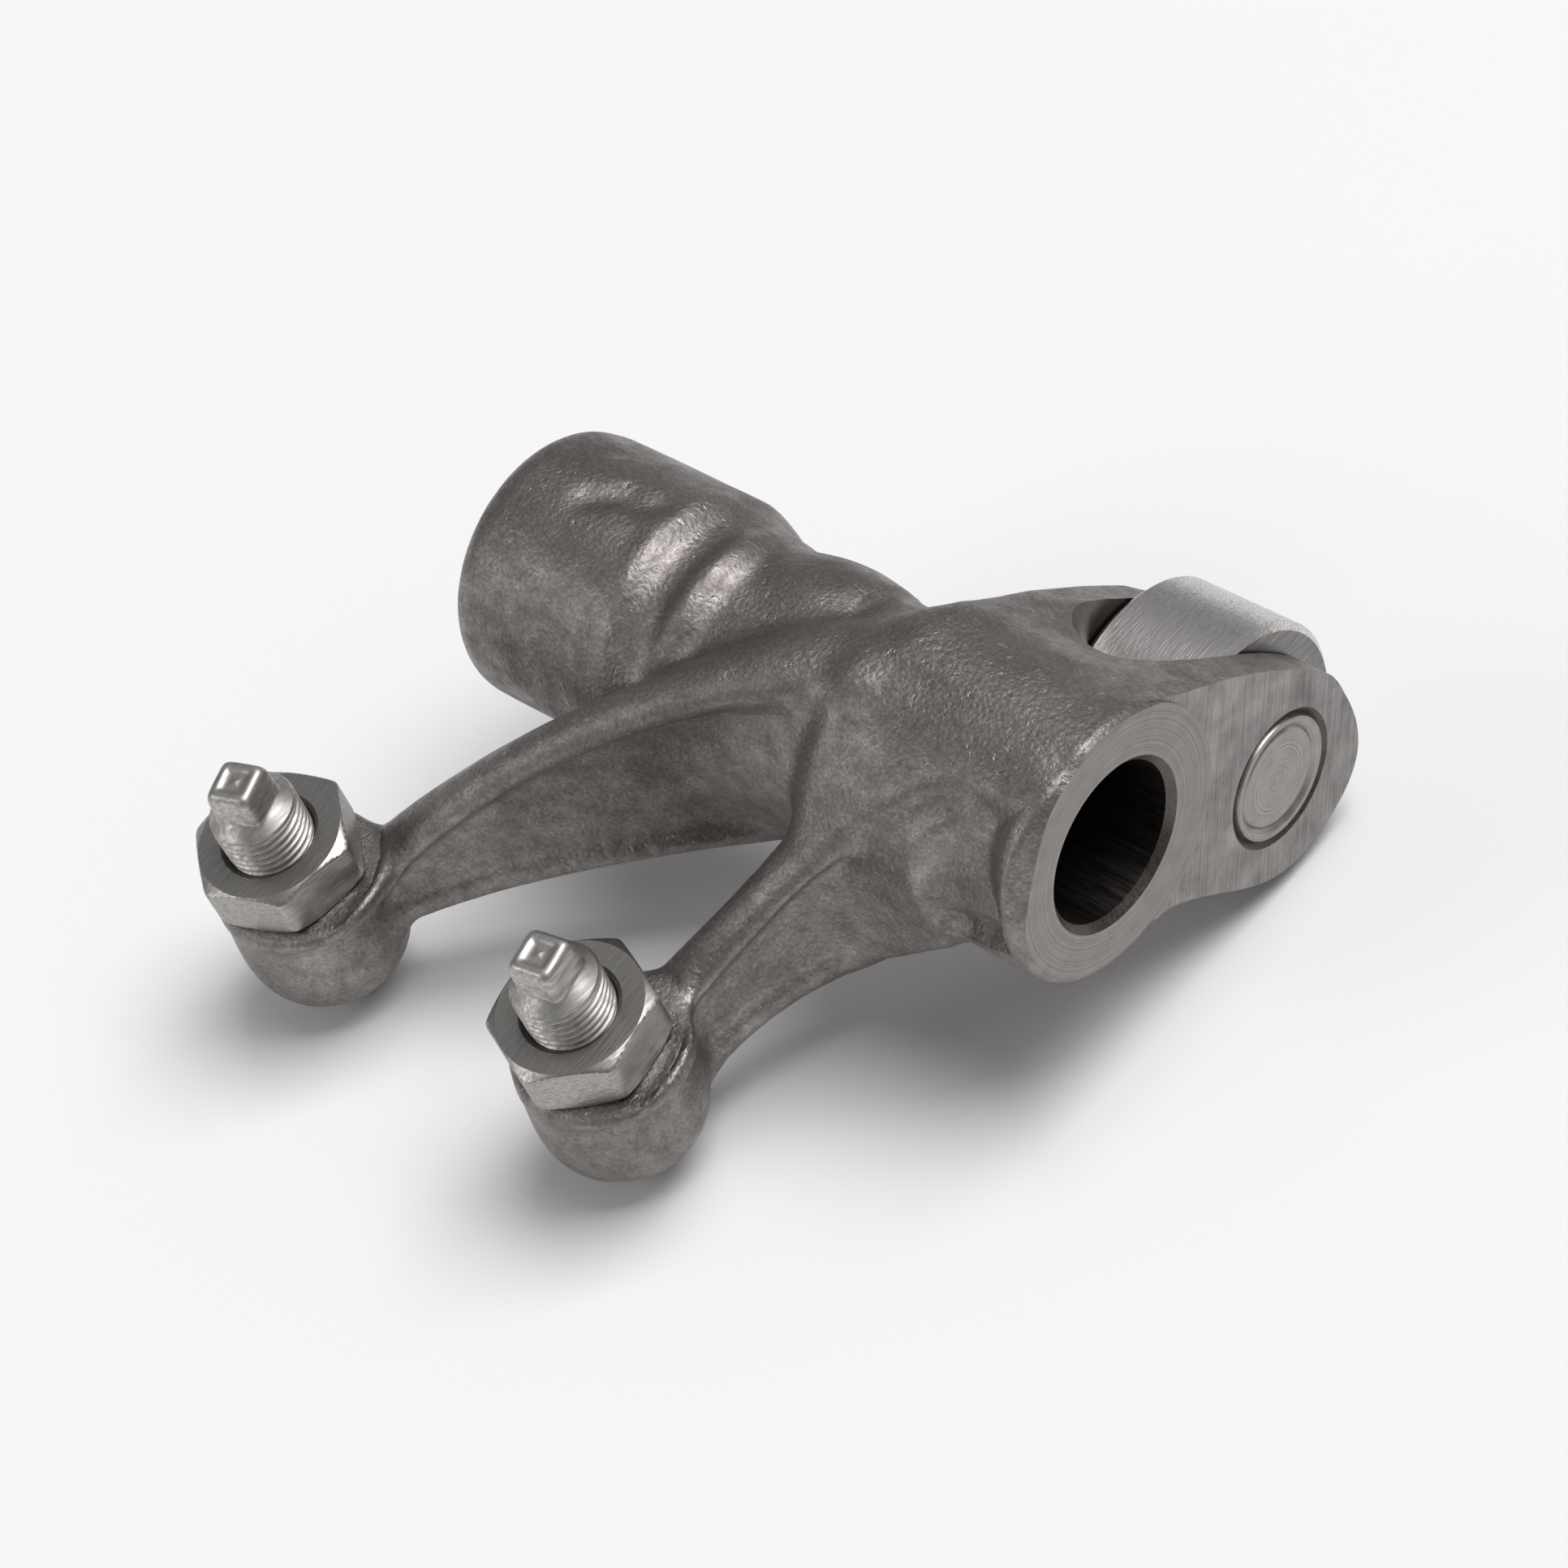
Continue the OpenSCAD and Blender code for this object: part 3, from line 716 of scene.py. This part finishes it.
def screw(end):
    """An adjuster: a rolled fine thread, a coned neck, and a rounded square with a dimple in its end."""
    steps = 128
    turns = np.arange(steps) * math.tau / steps
    spin = turns - math.radians(SQUARE_TURN[end])
    square = SQUARE_HALF / (np.abs(np.cos(spin)) ** 6 + np.abs(np.sin(spin)) ** 6) ** (1 / 6)
    rows = [(0, SCREW_TIP)]
    for i in range(6):
        a = math.radians(90 - 18 * i)
        out, up = TIP_ROUND * math.cos(a), TIP_ROUND * math.sin(a)
        rows.append((TIP_R - TIP_ROUND + out, SCREW_TIP + TIP_ROUND - up))
    rows += [(TIP_R, SCREW_TIP + 2.1), (THREAD_R, SCREW_TIP + 2.6), (THREAD_R, THREAD_START)]
    for height in np.arange(THREAD_START + 0.05, THREAD_END + 0.8, 0.05):
        phase = (height / THREAD_PITCH - turns / math.tau) % 1
        fade = ease((THREAD_END + 0.1 - height) / 0.5) * ease((height - THREAD_START) / 0.3)
        groove = THREAD_DEPTH * (1 - np.cos(math.tau * phase)) / 2 * fade
        body = np.maximum(THREAD_R - groove, 0)
        cone = THREAD_R - 1.25 * np.maximum(height - THREAD_END + 0.15, 0)
        rows.append((-blend(-np.minimum(body, cone), -square * 0.98, 0.25), height))
    rows += [(square * share, SCREW_TOP - drop) for drop, share in SCREW_HEAD]
    rows.append((0, SCREW_TOP - 0.1))
    return turned("threaded_screw_" + end, rows, steps)


def nut(end):
    """A lock nut with coned corners, softened by its plating, and a countersunk thread."""
    steps = 144
    turns = np.degrees(np.arange(steps) * math.tau / steps) - NUT_TURN[end]
    hexagon = NUT_FLAT / np.cos(np.radians(turns % 60 - 30))
    hexagon = blend(hexagon, NUT_CORNER - 0.1, 0.2)
    heights = [0, 0.06, 0.12, 0.2, 0.3, 0.4, 0.5, 0.65, 1.2, 2, 2.8, 3.2, 3.3, 3.4, 3.5, 3.6, 3.68, 3.75, 3.81]
    heights.append(NUT_T)
    rows = []
    for height in heights:
        edge = min(height, NUT_T - height)
        cone = NUT_FLAT - 0.1 + 1.75 * edge
        rows.append((blend(hexagon, cone, 0.12), height))
    rows += [(NUT_FLAT - 0.2, NUT_T), (NUT_SINK, NUT_T), (NUT_SINK - 0.06, NUT_T - 0.03),
             (NUT_BORE, NUT_T - 0.32), (NUT_BORE, 0.3), (NUT_SINK - 0.06, 0)]
    return turned("plated_nut_" + end, rows, steps, closed=True)


def fit(mesh, end, material, node, body, smooth):
    """Puts a screw or nut on its axis and lets it stand in for its node."""
    axis = SCREWS[end]
    thing = part(mesh, UPRIGHT_TO_REST @ Matrix.Translation((axis.x, axis.y, SEAT_Z)))
    mesh.materials.append(material)
    shade_smooth(thing, smooth)
    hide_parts(node)
    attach(thing, body)


def refinish(thing, material):
    """Gives a CAD piece that keeps its shape a material of its own."""
    for slot in thing.material_slots:
        slot.material = material


forging()
for end in ("near", "far"):
    fit(screw(end), end, SCREW_STEEL, "adjuster_screw_" + end, "adjuster_" + end, 75)
    fit(nut(end), end, NUT_STEEL, "lock_nut_" + end, "nut_" + end, 24)
for node, material in [("roller", ROLLER_STEEL), ("roller_pin", PIN_STEEL)]:
    refinish(frame["nodes"][node], material)
for name, thing in frame["nodes"].items():
    if name.startswith("needle"):
        refinish(thing, NEEDLE_STEEL)


# The photo's camera, found from the circles and corners it shows, in the upright frame and in mm
CAMERA_RIGHT = Vector((0.742547, 0.609262, -0.278250))
CAMERA_BACK = Vector((0.548769, -0.315211, 0.774271))
CAMERA_AT = Vector((RING_X + 141.83, -100.54, 231.14))
LENS = 108.6
SENSOR = 36


def camera():
    turn = Matrix((CAMERA_RIGHT, CAMERA_BACK.cross(CAMERA_RIGHT), CAMERA_BACK)).transposed().to_4x4()
    lens = bpy.data.cameras.new("camera")
    lens.lens = LENS
    lens.sensor_width = SENSOR
    lens.clip_start, lens.clip_end = 0.01, 100
    eye = bpy.data.objects.new("camera", lens)
    bpy.context.scene.collection.objects.link(eye)
    tip = Matrix.Rotation(TILT, 4, "X")
    eye.matrix_world = Matrix.Translation(UPRIGHT_TO_REST @ CAMERA_AT) @ tip @ turn
    bpy.context.scene.camera = eye


def floor(reach=3.0):
    """A plain pale floor under the part's lowest point, so many metres out to each side."""
    corners = [(-reach, -reach, 0), (reach, -reach, 0), (reach, reach, 0), (-reach, reach, 0)]
    mesh = new_mesh("floor", corners, [(0, 1, 2, 3)])
    ground = part(mesh)
    ground.location.z = cad_box[0].z
    material = bpy.data.materials.new("studio ground")
    material.use_nodes = True
    shader = material.node_tree.nodes["Principled BSDF"]
    shader.inputs["Base Color"].default_value = colour("#f6f6f6")
    shader.inputs["Roughness"].default_value = 0.8
    shader.inputs["Specular IOR Level"].default_value = 0.1
    ground.data.materials.append(material)


def lamp(name, at, aim, size, power):
    """A square soft box, in metres and watts."""
    light = bpy.data.lights.new(name, "AREA")
    light.shape, light.size, light.energy = "SQUARE", size, power
    thing = bpy.data.objects.new(name, light)
    bpy.context.scene.collection.objects.link(thing)
    thing.location = at
    thing.rotation_euler = (Vector(aim) - Vector(at)).to_track_quat("-Z", "Y").to_euler()


camera()
floor()
lamp("overhead soft box", (0.66, 0.8, 2.8), (0, 0, 0), 1.9, 75)
lamp("soft box low left", (-0.9, -1.4, 0.9), (0, 0, 0), 0.9, 5.5)
world = bpy.data.worlds.new("studio")
world.use_nodes = True
world.node_tree.nodes["Background"].inputs["Color"].default_value = (1, 1, 1, 1)
world.node_tree.nodes["Background"].inputs["Strength"].default_value = 0.25
bpy.context.scene.world = world
bpy.context.scene.view_settings.view_transform = "Standard"
